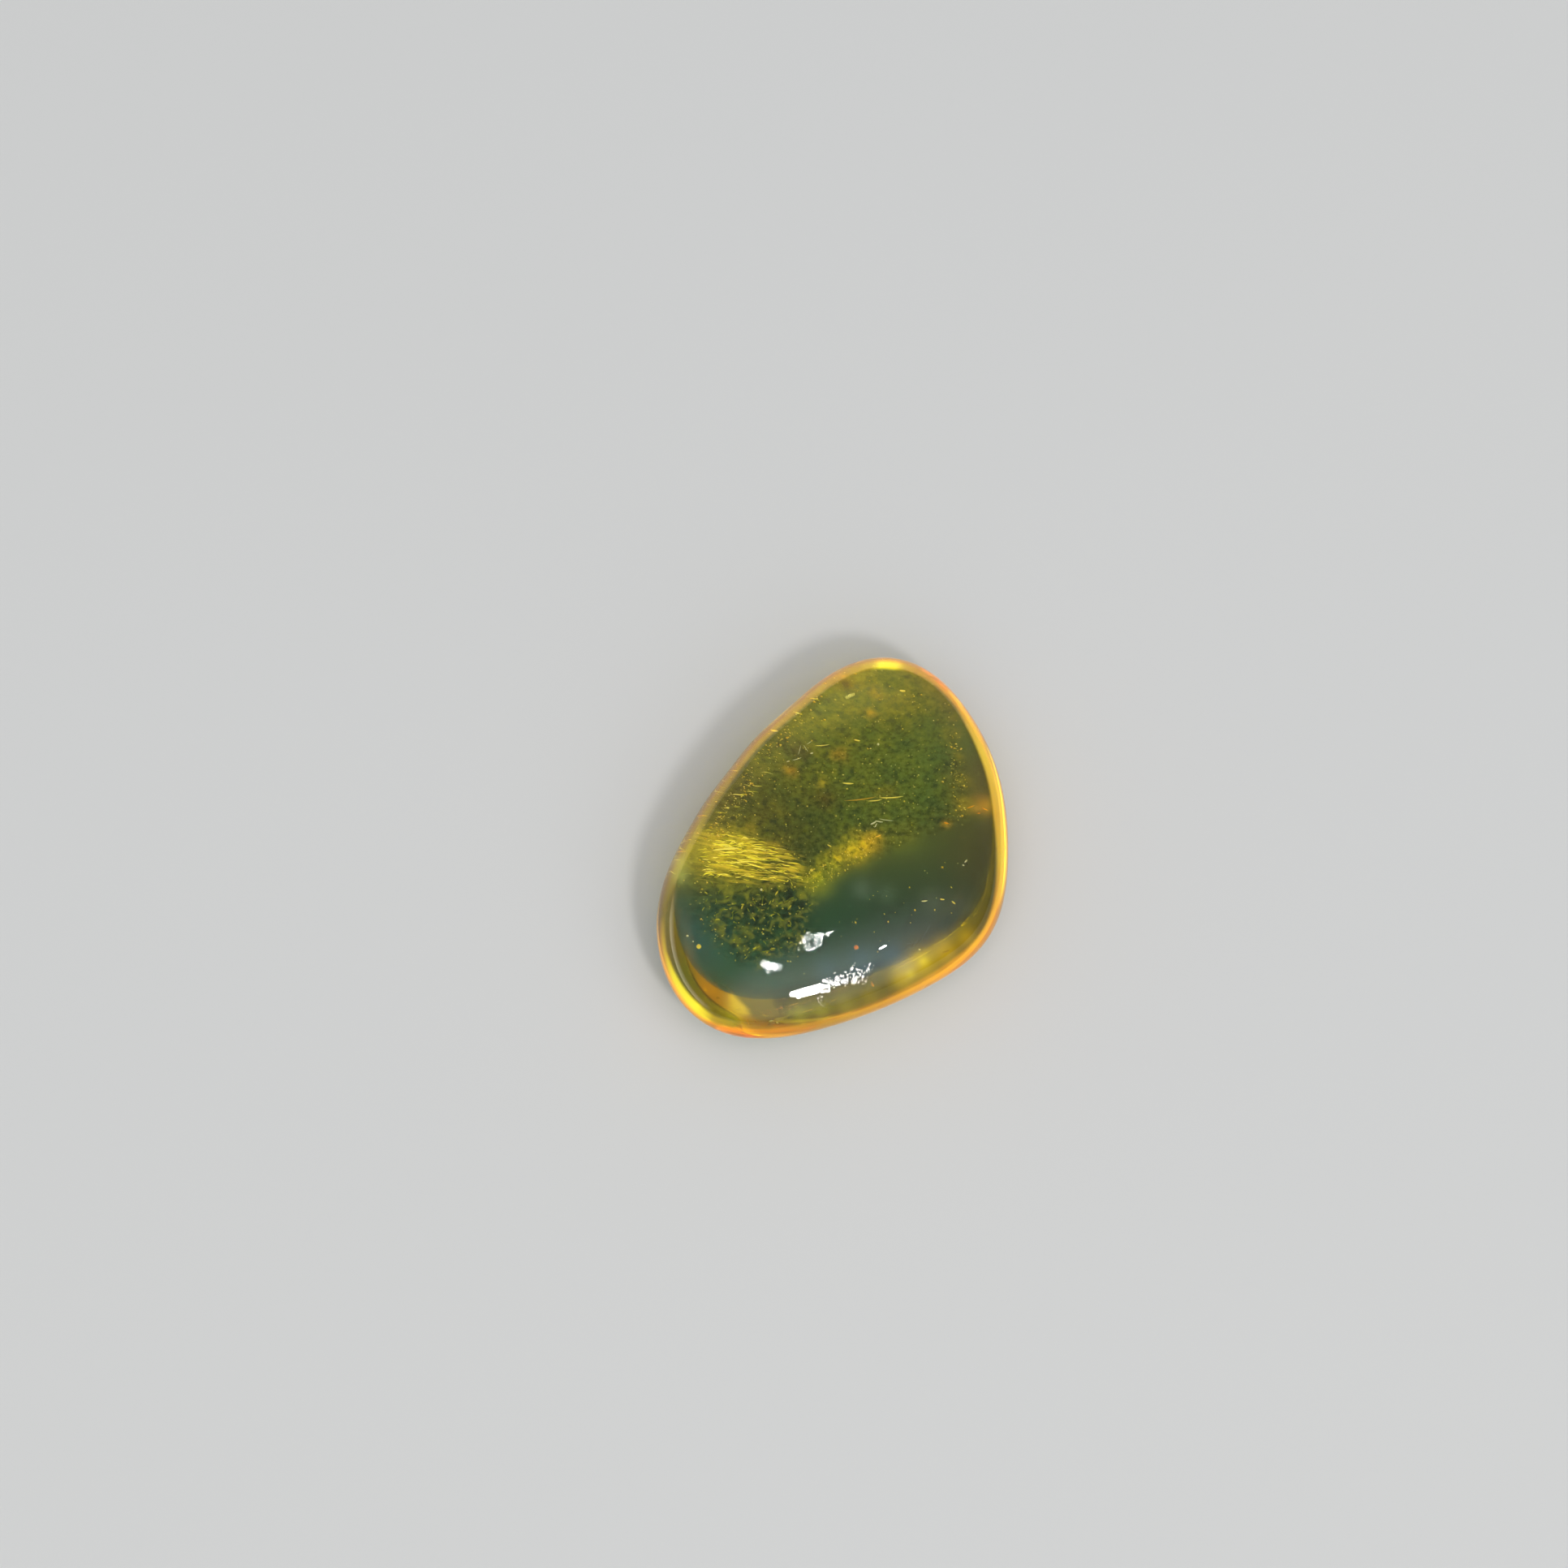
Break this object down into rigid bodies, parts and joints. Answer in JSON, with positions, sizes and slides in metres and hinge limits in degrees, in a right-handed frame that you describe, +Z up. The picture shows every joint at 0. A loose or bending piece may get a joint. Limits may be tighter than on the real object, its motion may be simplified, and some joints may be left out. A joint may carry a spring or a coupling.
{
  "type": "polished amber pebble",
  "caption": "Polished pebble of clear yellow amber with a rounded triangular outline, a domed top and a flat belly to rest on; a loose fossil-resin specimen.",
  "frame": {"origin": "middle of the pebble's footprint, on the surface it rests on", "axes": "+Z up out of the flat belly; +Y along the pebble towards its narrow end; +X across it"},
  "size_m": [0.027, 0.0332, 0.0091],
  "materials": {
    "amber": "polished"
  },
  "bodies": {
    "root": {"amber": "amber"}
  },
  "joints": []
}
